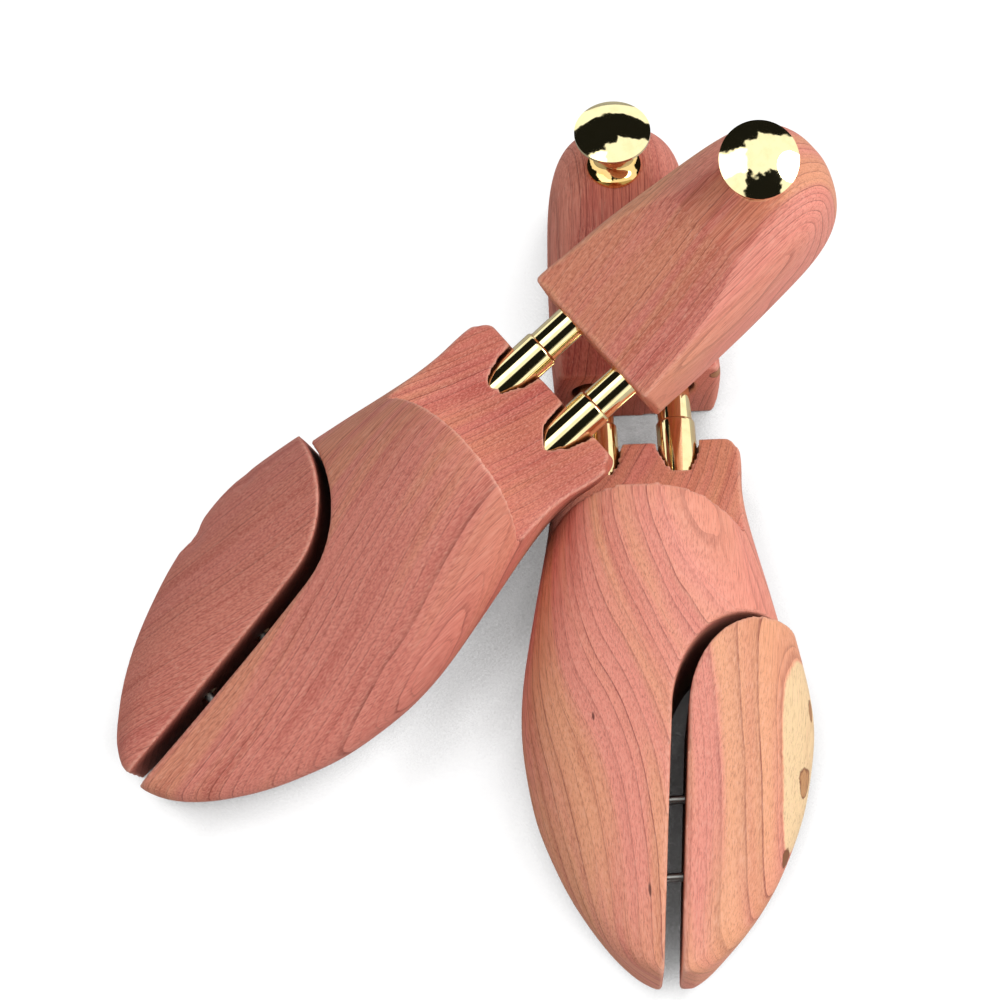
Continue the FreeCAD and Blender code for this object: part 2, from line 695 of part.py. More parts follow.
def knob(prefix, pose, seat):
    """Two-piece turned knob on its stud."""
    screw_hole = "knob_screw_diameter / 2 + seat_clearance"
    stem = turned(prefix + "knob_stem", [
        (screw_hole, "0"),
        ("knob_flange_diameter / 2", "0"),
        ("knob_flange_diameter / 2", "knob_flange_edge"),
        ("knob_neck_diameter / 2", "knob_neck_low"),
        ("knob_neck_diameter / 2", "knob_neck_high"),
        ("knob_stem_top_diameter / 2", "knob_stem_height"),
        ("0", "knob_stem_height"),
        ("0", "knob_screw_grip + seat_clearance"),
        (screw_hole, "knob_screw_grip + seat_clearance"),
    ], smooth={2: 3, 4: 4})
    keep(stem, prefix + "knob_stem", pose.multiply(seat))
    rim = "knob_stem_height + knob_head_flare"
    head = turned(prefix + "knob_head", [
        ("0", "knob_stem_height"),
        ("knob_stem_top_diameter / 2", "knob_stem_height"),
        ("knob_head_diameter / 2", rim),
        ("knob_head_diameter / 2", f"{rim} + knob_rim"),
        ("0", f"{rim} + knob_rim + knob_dome"),
    ], dome=3)
    keep(head, prefix + "knob_head", pose.multiply(seat))
    screw = round_bar(prefix + "knob_stud", "knob_screw_diameter", "knob_screw_hold + knob_screw_grip", Placement())
    keep(screw, prefix + "knob_screw", pose.multiply(seat).multiply(moved(0, 0, -size("knob_screw_hold"))))


def set_pins(prefix, hand, pose):
    """Pins driven from the sole against the tubes, two in each block."""
    for end, y, tube in (("fore", -size("fore_set_pin_depth"), "sleeve_diameter"),
                         ("heel", size("heel_gap") + size("heel_set_pin_depth"), "slide_diameter")):
        length = f"tube_height - {tube} / 2 - set_pin_sink - seat_clearance"
        pair = doc.addObject("Part::Compound", f"{prefix}{end}_pins")
        pair.Links = [round_bar(f"{prefix}{end}_set_pin_{side}", "set_pin_diameter", length,
                                moved(x, y, size("set_pin_sink"))) for side, x in tube_places(hand)]
        keep(pair, f"{prefix}{end}_set_pins", pose)


def shoe_tree(prefix, hand, pose):
    """One whole tree. hand is 1 for the left and -1 for the right."""
    fore_block(prefix, hand, pose)
    toe_side_block(prefix, hand, pose)
    toe_guides(prefix, hand, pose)
    sleeve_tubes(prefix, hand, pose)
    slide_tubes(prefix, hand, pose)
    seat = heel_block(prefix, hand, pose)
    knob(prefix, pose, seat)
    set_pins(prefix, hand, pose)


def left_pose():
    """The left tree lies flat, with the origin of the pair under the middle of its sole."""
    turn = Rotation(Vector(0, 0, 1), size("left_yaw"))
    return Placement(turn.multVec(Vector(0, size("origin_ahead_of_neck"), 0)), turn)


def right_pose():
    """The right tree lies with its toe on the floor and its heel across the left heel."""
    turn = (Rotation(Vector(0, 0, 1), size("right_yaw"))
            .multiply(Rotation(Vector(1, 0, 0), size("right_pitch")))
            .multiply(Rotation(Vector(0, 1, 0), size("right_roll"))))
    return Placement(left_pose().Base + Vector(size("right_x"), size("right_y"), size("right_z")), turn)


def write_parts():
    """Checks every object and writes one file for each piece."""
    doc.recompute()
    for item in doc.Objects:
        if {"Invalid", "Error"} & set(item.State):
            raise RuntimeError(f"{item.Name} could not be worked out")
    for piece in nodes:
        if piece.Shape.isNull() or not piece.Shape.isValid():
            raise RuntimeError(f"{piece.Label} has no sound shape")
    os.makedirs("parts", exist_ok=True)
    for piece in nodes:
        piece.Shape.exportStep(f"parts/{piece.Label}.step")
    print(f"{len(nodes)} pieces written")


shoe_tree("left_", 1, left_pose())
shoe_tree("right_", -1, right_pose())
write_parts()
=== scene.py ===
"""Looks of a pair of spring-loaded cedar shoe trees with brass tubes and knobs."""

import json
import math

import bmesh
import bpy
from bpy.props import FloatProperty, FloatVectorProperty, PointerProperty
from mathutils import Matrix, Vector, noise

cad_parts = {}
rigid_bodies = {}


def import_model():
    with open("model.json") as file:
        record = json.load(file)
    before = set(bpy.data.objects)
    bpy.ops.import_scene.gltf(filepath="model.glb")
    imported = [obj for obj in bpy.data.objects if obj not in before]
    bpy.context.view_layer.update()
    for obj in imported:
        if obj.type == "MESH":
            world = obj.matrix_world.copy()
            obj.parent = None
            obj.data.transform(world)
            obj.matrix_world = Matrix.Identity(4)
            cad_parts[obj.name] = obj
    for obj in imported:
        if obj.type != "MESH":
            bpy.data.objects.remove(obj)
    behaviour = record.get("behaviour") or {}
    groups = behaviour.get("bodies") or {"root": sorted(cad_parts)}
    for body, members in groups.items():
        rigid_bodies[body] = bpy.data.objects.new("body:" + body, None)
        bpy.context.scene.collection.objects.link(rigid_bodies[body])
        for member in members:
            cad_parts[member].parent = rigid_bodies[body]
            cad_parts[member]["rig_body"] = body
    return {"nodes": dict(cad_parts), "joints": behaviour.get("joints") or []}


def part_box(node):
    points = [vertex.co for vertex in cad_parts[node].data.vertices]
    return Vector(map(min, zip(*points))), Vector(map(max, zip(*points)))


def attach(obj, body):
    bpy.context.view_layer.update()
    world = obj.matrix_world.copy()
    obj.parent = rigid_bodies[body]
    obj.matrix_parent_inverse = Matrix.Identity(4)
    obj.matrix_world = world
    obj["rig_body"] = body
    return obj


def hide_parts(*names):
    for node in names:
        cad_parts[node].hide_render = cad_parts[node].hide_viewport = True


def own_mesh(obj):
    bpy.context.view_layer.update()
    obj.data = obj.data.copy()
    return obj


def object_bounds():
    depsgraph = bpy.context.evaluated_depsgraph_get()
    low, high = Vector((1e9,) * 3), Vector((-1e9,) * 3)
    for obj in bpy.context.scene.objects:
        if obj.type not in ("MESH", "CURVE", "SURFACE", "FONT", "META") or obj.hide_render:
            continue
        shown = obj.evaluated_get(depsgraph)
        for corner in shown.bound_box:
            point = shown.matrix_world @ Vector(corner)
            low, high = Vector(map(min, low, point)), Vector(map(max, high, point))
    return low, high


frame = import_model()
CAD_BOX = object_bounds()

bl_info = {
    "name": "Cedar shoe trees",
    "version": (1, 0, 0),
    "blender": (4, 5, 0),
    "location": "View3D > Sidebar > Shoe trees",
    "description": "Finishes for a pair of spring-loaded cedar shoe trees",
    "category": "Object",
}

MILLIMETRES = 1000.0
TREES = ("left_", "right_")


def tone(red, green, blue):
    """A colour as seen on paper, 0 to 255, as the linear colour that a shader takes."""
    linear = []
    for share in (red / 255, green / 255, blue / 255):
        low = share / 12.92
        high = ((share + 0.055) / 1.055) ** 2.4
        linear.append(low if share <= 0.04045 else high)
    return (*linear, 1.0)


# Grain of each block: where the middle of the log lay from the middle of the brass tubes, in
# millimetres across and up, how the fibres lean per millimetre of length, the usual width of a year's
# growth, how far the trunk sways, how warm and how deep the block's own tint is, how much deeper the neck
# is, partly its own tint and partly painted shade, how much painted shade a level top is given, and how
# far out the sapwood starts.
GRAIN = {
    "left_fore_block": {
        "log": (-58.0, -62.0),
        "lean": (0.0, 0.09),
        "year": 2.5,
        "sway": 11.0,
        "warmth": 0.75,
        "depth": 0.02,
        "neck": 0.22,
        "shift": 3.0,
    },
    "left_toe_side_block": {
        "log": (-60.0, -40.0),
        "lean": (0.13, 0.10),
        "year": 4.4,
        "sway": 3.0,
        "warmth": 0.85,
        "depth": 0.0,
        "shift": 17.0,
        "sapwood": 123.2,
    },
    "left_heel_block": {
        "log": (90.0, -16.0),
        "lean": (0.04, -0.06),
        "year": 2.4,
        "sway": 9.0,
        "warmth": 0.2,
        "depth": 0.26,
        "planed": 0.18,
        "shift": 29.0,
    },
    "right_fore_block": {
        "log": (80.0, -32.0),
        "lean": (0.02, -0.05),
        "year": 2.0,
        "sway": 9.0,
        "warmth": 0.6,
        "depth": 0.26,
        "neck": 0.34,
        "shift": 41.0,
    },
    "right_toe_side_block": {
        "log": (84.0, -24.0),
        "lean": (-0.36, 0.06),
        "year": 1.6,
        "sway": 9.0,
        "warmth": 0.15,
        "depth": 0.38,
        "shift": 53.0,
    },
    "right_heel_block": {
        "log": (96.0, -6.0),
        "lean": (0.03, -0.10),
        "year": 1.7,
        "sway": 6.0,
        "warmth": 0.7,
        "depth": 0.04,
        "planed": 0.42,
        "shift": 67.0,
    },
}

# Knots: millimetres across, along and up from the middle of the brass tubes, width, length, and how dark
# the heart is
KNOTS = {
    "left_toe_side_block": (
        (48.8, 70.0, 1.5, 1.7, 4.4, 0.35),
        (44.2, 94.0, 0.5, 3.2, 5.6, 0.15),
        (36.0, 119.0, 0.0, 2.2, 3.9, 0.85),
    ),
    "left_heel_block": ((27.5, -48.2, 9.0, 2.4, 3.0, 0.4),),
}
# Resin slits: the same places, width and length
SLITS = {
    "left_fore_block": ((-23.1, 74.0, 22.9, 0.55, 3.4), (-9.1, 129.7, 13.0, 0.6, 4.0)),
}
# Millimetres planed off the crown of each heel block
PLANED = {"left_heel_block": 1.3, "right_heel_block": 1.3}
# Shallow dents of the bark edge: the same places, how far round them each reaches and how deep it is
DENTS = {
    "right_toe_side_block": ((46.0, 64.5, 5.5, 5.5, 1.3), (44.8, 89.5, 0.5, 8.0, 2.2)),
}
# How a dent is stretched upwards, and how fine its unevenness is
DENT_SQUEEZE = 0.5
DENT_GRAIN = 220

# Cedar, in millimetres: slow bends of the trunk, small wavers, fibres, specks, ragged edges and tint zones
BEND_WIDTH = 75
BEND_LENGTH = 230
WAVER_WIDTH = 15
WAVER_LENGTH = 48
WAVER_REACH = 1.5
FIBRE_WIDTH = 0.36
FIBRE_LENGTH = 9
SPECK_WIDTH = 0.5
SPECK_LENGTH = 1.6
RAGGED_SIZE = 1.6
WORN_WIDTH = 6
WORN_LENGTH = 45
NECK_TINT_AND_SHADE_RUN = (-14.0, 8.0)
SAPWOOD_EDGE = 0.4
# Thin growth lines between the main ones, as a share of a year's width
THIN_YEAR = 0.37
# How level a face lies when it is given the painted shade of a planed top, as the share of its direction
# that points up
TOP_SHADE_FACING = (0.950, 0.985)
# How strongly each feature colours the wood
BLUSH_SHARE = 0.28
SOFT_SHARE = 0.20
FAINT_SHARE = 0.08
HAIR_SHARE = 0.34
LINE_SHARE = 0.72
SAPWOOD_SHARE = 0.94
DARK_FIBRE_SHARE = 2.1
PALE_FIBRE_SHARE = 1.9
SPECK_SHARE = 0.32
SLIT_SHARE = 0.85
GAP_SHADE_SHARE = 0.93
WORN_EDGE_HIGHLIGHT_SHARE = 0.45
# Painted shade in tight gaps and tube mouths: metres within which other wood darkens the colour, and how
# that darkening fades
GAP_SHADE_REACH = 0.014
GAP_SHADE_FADE = (0.06, 0.46)
WORN_EDGE_HIGHLIGHT_FADE = (0.515, 0.56)
# Sanding: metres below which points are joined, how strong one rub is and how many there are
WELD = 1e-6
RUB_FACTOR = 0.5
RUB_TIMES = 4

# Room: lowest and highest width, depth and height of the panels that polished brass shows, as directions
DARK_PANELS = (
    ((-2.0, 0.48, 0.30), (2.0, 2.0, 0.90)),
    ((-2.0, 0.16, 0.34), (0.00, 2.0, 0.93)),
    ((-0.24, -2.0, 0.25), (0.50, -0.30, 0.90)),
)
BRIGHT_PANEL = ((-2.0, -0.40, 0.50), (-0.22, 0.12, 2.0))
PANEL_EDGE = 0.03
PANEL_WOBBLE = 0.24
WHITE = (1.0, 1.0, 1.0, 1.0)
BRIGHT = (2.2, 2.2, 2.1, 1.0)
DARK = (0.010, 0.010, 0.008, 1.0)

# Floor, lamp and camera, in metres
FLOOR_HALF = 2.5
FLOOR_DROP = 0.0003
FLOOR_GLOW = (1.14, 1.14, 1.14, 1.0)
FLOOR_GAP_SHADE = (0.004, 0.002, 0.001, 1.0)
FLOOR_MATT = (0.86, 0.86, 0.86, 1.0)
FLOOR_BOUNCE = (0.55, 0.54, 0.52, 1.0)
FLOOR_GLOW_SHARE = 0.86
FLOOR_GAP_SHADE_REACH = 0.05
FLOOR_GAP_SHADE_FADE = (0.18, 0.50)
LAMP_WIDTH = 0.9
LAMP_AWAY = (1.05, -0.12, 1.05)
SENSOR_MILLIMETRES = 36.0
NEAREST_SEEN = 0.01
FARTHEST_SEEN = 20.0


def joint_named(name):
    """One joint of the pair."""
    return [joint for joint in frame["joints"] if joint["name"] == name][0]


def placed(name, data):
    """A new object in the scene."""
    made = bpy.data.objects.new(name, data)
    bpy.context.scene.collection.objects.link(made)
    return made


# Shader wiring
class Wire:
    """One value on its way through a finish. Sums and products of values add Math nodes."""

    def __init__(self, finish, socket):
        self.finish = finish
        self.socket = socket

    def worked(self, operation, first, second=0.0):
        """The outcome of one step of arithmetic."""
        return self.finish.node("ShaderNodeMath", {"operation": operation}, {0: first, 1: second})

    def __add__(self, other):
        return self.worked("ADD", self, other)

    def __radd__(self, other):
        return self.worked("ADD", other, self)

    def __sub__(self, other):
        return self.worked("SUBTRACT", self, other)

    def __rsub__(self, other):
        return self.worked("SUBTRACT", other, self)

    def __mul__(self, other):
        return self.worked("MULTIPLY", self, other)

    def __rmul__(self, other):
        return self.worked("MULTIPLY", other, self)

    def __truediv__(self, other):
        return self.worked("DIVIDE", self, other)

    def floor(self):
        """The whole part."""
        return self.worked("FLOOR", self)

    def part(self):
        """What is left over the whole part."""
        return self.worked("FRACT", self)

    def root(self):
        """The square root."""
        return self.worked("SQRT", self)

    def most(self, other):
        """The larger of two values."""
        return self.worked("MAXIMUM", self, other)

    def fade(self, start, end):
        """0 at start and 1 at end, with a soft turn at both."""
        sockets = {0: self, 1: start, 2: end}
        return self.finish.node("ShaderNodeMapRange", {"interpolation_type": "SMOOTHSTEP"}, sockets)


class Finish:
    """A material, or the world, while its nodes are laid."""

    def __init__(self, owner):
        self.owner = owner
        owner.use_nodes = True
        self.tree = owner.node_tree
        self.tree.nodes.clear()

    def node(self, kind, settings=None, sockets=None, out=0):
        """Adds a node of that kind, with its settings, then the values or links of its sockets."""
        made = self.tree.nodes.new(kind)
        for key, value in (settings or {}).items():
            setattr(made, key, value)
        for key, value in (sockets or {}).items():
            if isinstance(value, Wire):
                self.tree.links.new(value.socket, made.inputs[key])
            else:
                made.inputs[key].default_value = value
        return Wire(self, made.outputs[out]) if made.outputs else None

    def mix(self, share, first, second, how="MIX"):
        """A colour between two colours."""
        settings = {"data_type": "RGBA", "blend_type": how, "clamp_factor": True}
        return self.node("ShaderNodeMix", settings, {0: share, 6: first, 7: second}, out=2)

    def dot(self, first, second):
        """How far one vector reaches along another."""
        return self.node("ShaderNodeVectorMath", {"operation": "DOT_PRODUCT"}, {0: first, 1: second}, out=1)

    def point(self, across, along, up):
        """A place from its three distances."""
        return self.node("ShaderNodeCombineXYZ", None, {0: across, 1: along, 2: up})

    def scaled(self, place, times):
        """A place drawn out from the origin."""
        return self.node("ShaderNodeVectorMath", {"operation": "SCALE"}, {0: place, "Scale": times})

    def cloud(self, place, detail=2.0, roughness=0.5):
        """A soft random value round 0.5 at a place."""
        sockets = {"Vector": place, "Scale": 1.0, "Detail": detail, "Roughness": roughness}
        return self.node("ShaderNodeTexNoise", None, sockets)

    def show(self, kind, sockets, output="ShaderNodeOutputMaterial"):
        """Lays the shader and joins it to the output."""
        shader = self.node(kind, None, sockets)
        self.node(output, None, {"Surface": shader})
        return self.owner


class TreeAxes:
    """A shoe tree's own directions, from its tubes and its heel slide."""

    def __init__(self, prefix):
        lateral = self.centre(prefix + "sleeve_tube_lateral")
        medial = self.centre(prefix + "sleeve_tube_medial")
        slide = joint_named(prefix + "heel_slide")
        self.middle = (lateral + medial) / 2
        self.across = (lateral - medial).normalized()
        heel = self.centre(prefix + "heel_block") - self.middle
        along = Vector(slide["axis"]).normalized()
        self.along = -along if along.dot(heel) > 0 else along
        self.up = self.across.cross(self.along)
        if self.up.z < 0:
            self.up = -self.up

    @staticmethod
    def centre(node):
        """Middle of a node's box."""
        low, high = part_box(node)
        return (low + high) / 2

    def local(self, point):
        """A point as millimetres across, along and up from the middle of the tubes."""
        away = (point - self.middle) * MILLIMETRES
        return Vector((away.dot(self.across), away.dot(self.along), away.dot(self.up)))


# Sizes and colours
class CedarLook(bpy.types.PropertyGroup):
    """Colours and grain of the cedar blocks."""

    pale: FloatVectorProperty(
        name="Pale heartwood",
        description="Colour of the wood between two growth lines",
        subtype="COLOR",
        size=4,
        default=tone(242, 154, 136),
    )
    deep: FloatVectorProperty(
        name="Deep heartwood",
        description="Colour of the darkest blocks",
        subtype="COLOR",
        size=4,
        default=tone(184, 76, 66),
    )
    peach: FloatVectorProperty(
        name="Peach heartwood",
        description="Colour that the wood drifts to in warm patches",
        subtype="COLOR",
        size=4,
        default=tone(240, 172, 128),
    )
    line: FloatVectorProperty(
        name="Growth line",
        description="Colour of the dark wood at the end of each year",
        subtype="COLOR",
        size=4,
        default=tone(122, 44, 38),
    )
    sap: FloatVectorProperty(
        name="Sapwood",
        description="Colour of the cream wood under the bark",
        subtype="COLOR",
        size=4,
        default=tone(246, 216, 168),
    )
    knot: FloatVectorProperty(
        name="Knot",
        description="Colour of the wood in a knot",
        subtype="COLOR",
        size=4,
        default=tone(206, 154, 108),
    )
    bark: FloatVectorProperty(
        name="Knot rim",
        description="Colour of the bark round a knot",
        subtype="COLOR",
        size=4,
        default=tone(120, 68, 44),
    )
    # Painted shade: the dark colour that wood is given in tight gaps and in the depths of the tube mouths,
    # standing in for shade rather than burn on the saw faces
    gap: FloatVectorProperty(
        name="Tight gap",
        description="Colour of the burnt saw faces and the depths of the tube mouths",
        subtype="COLOR",
        size=4,
        default=tone(34, 14, 9),
    )
    slit: FloatVectorProperty(
        name="Resin slit",
        description="Colour of the small dark slits in the grain",
        subtype="COLOR",
        size=4,
        default=tone(74, 26, 22),
    )
    # Also the colour of the pale fibres; on the arrises it is partly wear of the sanded wood and partly a
    # painted highlight
    edge: FloatVectorProperty(
        name="Sanded edge",
        description="Colour of the rubbed arrises",
        subtype="COLOR",
        size=4,
        default=tone(244, 190, 168),
    )
    carve: FloatProperty(
        name="Carving step",
        description="Spacing of the points that the sanded blocks are made of",
        subtype="DISTANCE",
        unit="LENGTH",
        default=0.0009,
        min=0.0004,
        max=0.003,
    )
    roughness: FloatProperty(
        name="Cedar roughness",
        description="How matt the sanded wood is",
        subtype="FACTOR",
        default=0.52,
        min=0.0,
        max=1.0,
    )


class BrassLook(bpy.types.PropertyGroup):
    """Colours of the brass and steel."""

    gold: FloatVectorProperty(
        name="Polished brass",
        description="Colour of the polished brass",
        subtype="COLOR",
        size=4,
        default=tone(254, 242, 196),
    )
    amber: FloatVectorProperty(
        name="Amber brass",
        description="Colour of the brass where lacquer gathers",
        subtype="COLOR",
        size=4,
        default=tone(232, 176, 70),
    )
    polish: FloatProperty(
        name="Brass roughness",
        description="How soft the reflections in the brass are",
        subtype="FACTOR",
        default=0.035,
        min=0.0,
        max=1.0,
    )
    steel: FloatVectorProperty(
        name="Steel",
        description="Colour of the springs and screws",
        subtype="COLOR",
        size=4,
        default=tone(196, 198, 200),
    )


class StageLook(bpy.types.PropertyGroup):
    """Camera, lamp and floor."""

    target: FloatVectorProperty(
        name="Camera target",
        description="Point in the middle of the picture",
        subtype="XYZ",
        unit="LENGTH",
        size=3,
        default=(-0.049876, 0.040818, 0.020),
    )
    distance: FloatProperty(
        name="Camera distance",
        description="From the camera to its target",
        subtype="DISTANCE",
        unit="LENGTH",
        default=1.38575,
    )
    elevation: FloatProperty(
        name="Camera elevation",
        description="Angle of the view above the floor",
        subtype="ANGLE",
        unit="ROTATION",
        default=math.radians(67.4),
    )
    lens: FloatProperty(
        name="Lens",
        description="Focal length in millimetres on a 36 mm sensor",
        default=150.588,
    )
    cream: FloatVectorProperty(
        name="Ceiling",
        description="Colour of the ceiling that the brass shows",
        subtype="COLOR",
        size=4,
        default=(1.15, 1.15, 1.05, 1.0),
    )
    lamp: FloatProperty(
        name="Key lamp",
        description="Power of the large soft lamp",
        subtype="POWER",
        unit="POWER",
        default=12.5,
    )
    sky: FloatProperty(
        name="Room light",
        description="Light that comes from all around",
        subtype="FACTOR",
        default=0.55,
    )


# Wood
def rings(wood, grain, across, along, up):
    """How far a place is from the middle of its log, with the slow bends of a grown trunk."""
    shift = grain["shift"]
    bend = wood.cloud(wood.point(across / BEND_WIDTH + shift, along / BEND_LENGTH, up / BEND_WIDTH), 1.0)
    other = wood.point(across / BEND_WIDTH - shift, along / BEND_LENGTH, up / BEND_WIDTH + 7.3)
    sway = wood.cloud(other, 1.0)
    waver = wood.cloud(wood.point(across / WAVER_WIDTH + shift, along / WAVER_LENGTH, up / WAVER_WIDTH), 2.0)
    side = across - grain["log"][0] + along * grain["lean"][0] + (bend - 0.5) * grain["sway"]
    rise = up - grain["log"][1] + along * grain["lean"][1] + (sway - 0.5) * grain["sway"]
    return (side * side + rise * rise).root() + (waver - 0.5) * WAVER_REACH


def years(wood, radius, width, shift):
    """Growth lines round the log: a soft darkening in each year, and the crisp line that ends it."""
    pace = wood.cloud(wood.point(radius / (width * 3.1), shift, 0.0), 1.0)
    count = radius / width + (pace - 0.5) * 2.6
    place = count.part()
    chance = wood.node("ShaderNodeTexWhiteNoise", {"noise_dimensions": "1D"}, {"W": count.floor() + shift})
    return place.fade(0.25, 1.0), place.fade(0.84, 0.96), chance


def mark(wood, place, spot):
    """How far a point is from a mark, where 1 is the mark's edge."""
    across, along, up = place
    wide, tall = spot[3:5]
    ahead = (along - spot[1]) / tall
    narrow = (wide - ahead * (wide * 0.45)).most(wide * 0.3)
    away = wood.point((across - spot[0]) / narrow, ahead, (up - spot[2]) / narrow)
    return wood.node("ShaderNodeVectorMath", {"operation": "LENGTH"}, {0: away}, out=1)


def marked(wood, block, place, ragged, fibre, tint, look):
    """Knots and resin slits drawn into the tint."""
    for spot in KNOTS.get(block, ()):
        reach = mark(wood, place, spot) + (ragged - 0.5) * 0.5
        heart = wood.mix((fibre.fade(0.42, 0.66) * 0.6).most(spot[5]), look.knot, look.bark)
        tint = wood.mix(1 - reach.fade(0.84, 0.98), tint, heart)
        rim = reach.fade(0.78, 0.90) * (1 - reach.fade(0.96, 1.08))
        tint = wood.mix(rim * (0.35 + ragged * 0.9), tint, look.bark)
    for spot in SLITS.get(block, ()):
        tint = wood.mix((1 - mark(wood, place, spot).fade(0.45, 1.0)) * SLIT_SHARE, tint, look.slit)
    return tint


def cedar(block, axes, look):
    """Aromatic red cedar with growth rings round the log that this block was sawn from."""
    grain = GRAIN[block]
    shift = grain["shift"]
    wood = Finish(bpy.data.materials.new("cedar_" + block))
    spot = wood.node("ShaderNodeTexCoord", out="Object")
    away = wood.node("ShaderNodeVectorMath", {"operation": "SUBTRACT"}, {0: spot, 1: axes.middle})
    across = wood.dot(away, axes.across * MILLIMETRES)
    along = wood.dot(away, axes.along * MILLIMETRES)
    up = wood.dot(away, axes.up * MILLIMETRES)
    radius = rings(wood, grain, across, along, up)

    soft, crisp, chance = years(wood, radius, grain["year"], shift)
    faint, thin, luck = years(wood, radius, grain["year"] * THIN_YEAR, shift + 11)
    worn = wood.cloud(wood.point(across / WORN_WIDTH + shift, along / WORN_LENGTH, up / WORN_WIDTH), 2.0)
    worn = worn.fade(0.30, 0.62)
    line = crisp * (0.22 + 0.78 * chance) * (0.35 + 0.65 * worn)
    hair = thin * luck * (0.4 + 0.6 * worn)

    slant = across + along * grain["lean"][0]
    fibre = wood.point(slant / FIBRE_WIDTH + shift, along / FIBRE_LENGTH, up / FIBRE_WIDTH)
    fibre = wood.cloud(fibre, 3.0, 0.65)
    speck = wood.point(across / SPECK_WIDTH, along / SPECK_LENGTH + shift, up / SPECK_WIDTH)
    speck = wood.cloud(speck, 2.0, 0.6)
    ragged = wood.point(across / RAGGED_SIZE, along / RAGGED_SIZE, up / RAGGED_SIZE + shift)
    ragged = wood.cloud(ragged, 3.0)
    zone = wood.cloud(wood.point(radius / 9, along / 150, shift), 2.0).fade(0.40, 0.60)
    blush = wood.cloud(wood.point(radius / 5 + 31, along / 110, shift), 2.0).fade(0.50, 0.72)

    tint = wood.mix(zone * grain["warmth"], look.pale, look.peach)
    own = blush * BLUSH_SHARE + grain["depth"]
    # Partly the neck's own deeper wood and partly painted shade where the other tree lies over it: the
    # colour deepens towards the neck
    if "neck" in grain:
        own = own + (1 - along.fade(*NECK_TINT_AND_SHADE_RUN)) * grain["neck"]
    # Painted shade: faces that point up, such as the planed tops of the heel blocks, are given a deeper
    # colour by the way they face
    if "planed" in grain:
        painted_top_shade = wood.dot(wood.node("ShaderNodeTexCoord", out="Normal"), axes.up)
        own = own + painted_top_shade.fade(*TOP_SHADE_FACING) * grain["planed"]
    tint = wood.mix(own, tint, look.deep)
    tint = wood.mix(soft * (0.30 + 0.70 * chance) * SOFT_SHARE, tint, look.line)
    tint = wood.mix(faint * luck * FAINT_SHARE + hair * HAIR_SHARE, tint, look.line)
    tint = wood.mix(line * LINE_SHARE, tint, look.line)
    if "sapwood" in grain:
        start = grain["sapwood"]
        bark_side = (radius + (ragged - 0.5) * SAPWOOD_EDGE).fade(start, start + SAPWOOD_EDGE)
        cream = wood.mix(line * 0.25 + hair * 0.15, look.sap, look.knot)
        tint = wood.mix(bark_side * SAPWOOD_SHARE, tint, cream)
    tint = wood.mix((fibre - 0.5).most(0.0) * DARK_FIBRE_SHARE, tint, look.line)
    tint = wood.mix((0.5 - fibre).most(0.0) * PALE_FIBRE_SHARE, tint, look.edge)
    tint = wood.mix(speck.fade(0.58, 0.78) * SPECK_SHARE, tint, look.line)
    tint = marked(wood, block, (across, along, up), ragged, fibre, tint, look)
    # Painted shade: wood lying close to other wood is darkened, in the saw gaps, the tube mouths and where
    # the trees touch
    tight = wood.node("ShaderNodeAmbientOcclusion", {"samples": 2}, {"Distance": GAP_SHADE_REACH}, out="AO")
    tint = wood.mix((1 - tight.fade(*GAP_SHADE_FADE)) * GAP_SHADE_SHARE, tint, look.gap)
    # Partly wear and partly a painted highlight: convex arrises, found by their pointiness, are lightened
    # towards the sanded edge colour
    rubbed = wood.node("ShaderNodeNewGeometry", out="Pointiness").fade(*WORN_EDGE_HIGHLIGHT_FADE)
    tint = wood.mix(rubbed * WORN_EDGE_HIGHLIGHT_SHARE, tint, look.edge)

    relief = fibre * 0.7 - line * 0.7 - hair * 0.3
    bump = wood.node("ShaderNodeBump", None, {"Strength": 0.20, "Distance": 0.0003, "Height": relief})
    matt = look.roughness + (fibre - 0.5) * 0.25 + line * 0.08
    sockets = {"Base Color": tint, "Roughness": matt, "Normal": bump, "Specular IOR Level": 0.30}
    return wood.show("ShaderNodeBsdfPrincipled", sockets)


def dented(mesh, dents, axes):
    """Presses the bark-edge dents into a block."""
    for dent in dents:
        middle = Vector(dent[:3])
        for corner in mesh.vertices:
            away = axes.local(corner.co) - middle
            share = Vector((away.x, away.y, away.z * DENT_SQUEEZE)).length / dent[3]
            if share < 1:
                ease = (1 - share * share) ** 2
                uneven = 0.75 + 0.5 * noise.noise(corner.co * DENT_GRAIN)
                corner.co -= axes.across * (dent[4] * ease * uneven / MILLIMETRES)


def planed(mesh, depth, axes):
    """Planes the crown of a block flat."""
    heights = [axes.local(corner.co).z for corner in mesh.vertices]
    top = max(heights) - depth
    for corner, height in zip(mesh.vertices, heights):
        if height > top:
            corner.co -= axes.up * ((height - top) / MILLIMETRES)


def sanded(node, step):
    """A copy of a block with its arrises rubbed round, as a piece of its own."""
    source = frame["nodes"][node]
    mesh = source.data.copy()
    shell = bmesh.new()
    shell.from_mesh(mesh)
    bmesh.ops.remove_doubles(shell, verts=shell.verts, dist=WELD)
    shell.to_mesh(mesh)
    shell.free()
    rough = placed(node + "_blank", mesh)
    remesh = rough.modifiers.new("carved", "REMESH")
    remesh.mode = "VOXEL"
    remesh.voxel_size = step
    rub = rough.modifiers.new("rubbed", "SMOOTH")
    rub.factor = RUB_FACTOR
    rub.iterations = RUB_TIMES
    graph = bpy.context.evaluated_depsgraph_get()
    carved = bpy.data.meshes.new_from_object(rough.evaluated_get(graph))
    bpy.data.objects.remove(rough)
    carved.name = node + "_sanded"
    carved.materials.clear()
    for face in carved.polygons:
        face.use_smooth = True
    return placed(node + "_sanded", carved)


